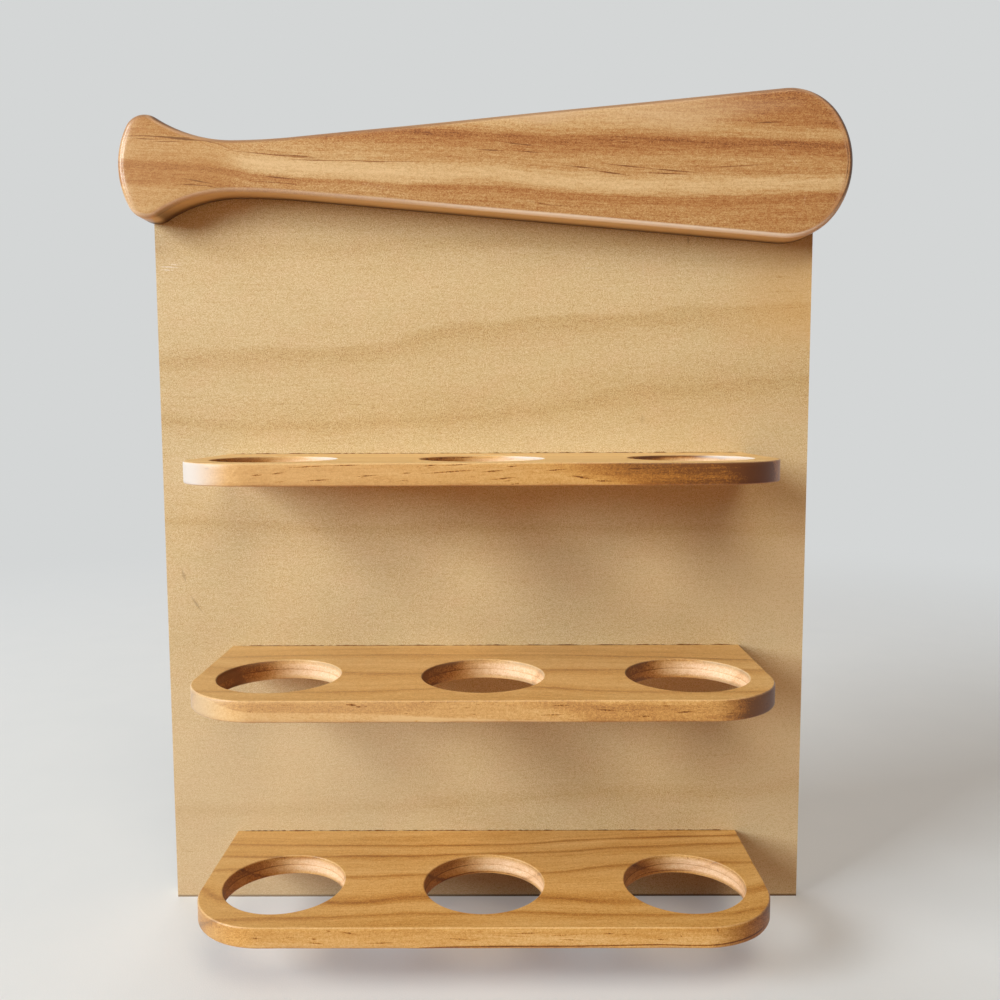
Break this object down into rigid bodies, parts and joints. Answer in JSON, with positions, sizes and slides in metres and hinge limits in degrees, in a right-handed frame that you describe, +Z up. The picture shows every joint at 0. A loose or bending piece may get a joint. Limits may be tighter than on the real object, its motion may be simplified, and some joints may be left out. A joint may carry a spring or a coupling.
{
  "type": "baseball wall display rack",
  "caption": "Wooden wall rack for baseballs: shelves with round ball seats on a plywood panel, under a flat bat-shaped plaque.",
  "frame": {"origin": "centre of the back panel's back face, which lies on the wall", "axes": "+Y into the wall, +X to the right as seen from the front, +Z up"},
  "size_m": [0.4107, 0.123, 0.4757],
  "materials": {
    "plywood": "satin clear coat on pine plywood",
    "shelf_pine": "satin clear coat on pine",
    "bat_pine": "satin clear coat on pine, warmer",
    "screw_steel": "zinc plated",
    "hanger_steel": "zinc plated"
  },
  "bodies": {
    "root": {"back_panel": "plywood", "lower_shelf": "shelf_pine", "middle_shelf": "shelf_pine", "upper_shelf": "shelf_pine", "bat_plaque": "bat_pine", "lower_shelf_screws": "screw_steel", "middle_shelf_screws": "screw_steel", "upper_shelf_screws": "screw_steel", "bat_screws": "screw_steel", "left_hanger_plate": "hanger_steel", "right_hanger_plate": "hanger_steel", "left_hanger_screws": "screw_steel", "right_hanger_screws": "screw_steel"}
  },
  "joints": []
}
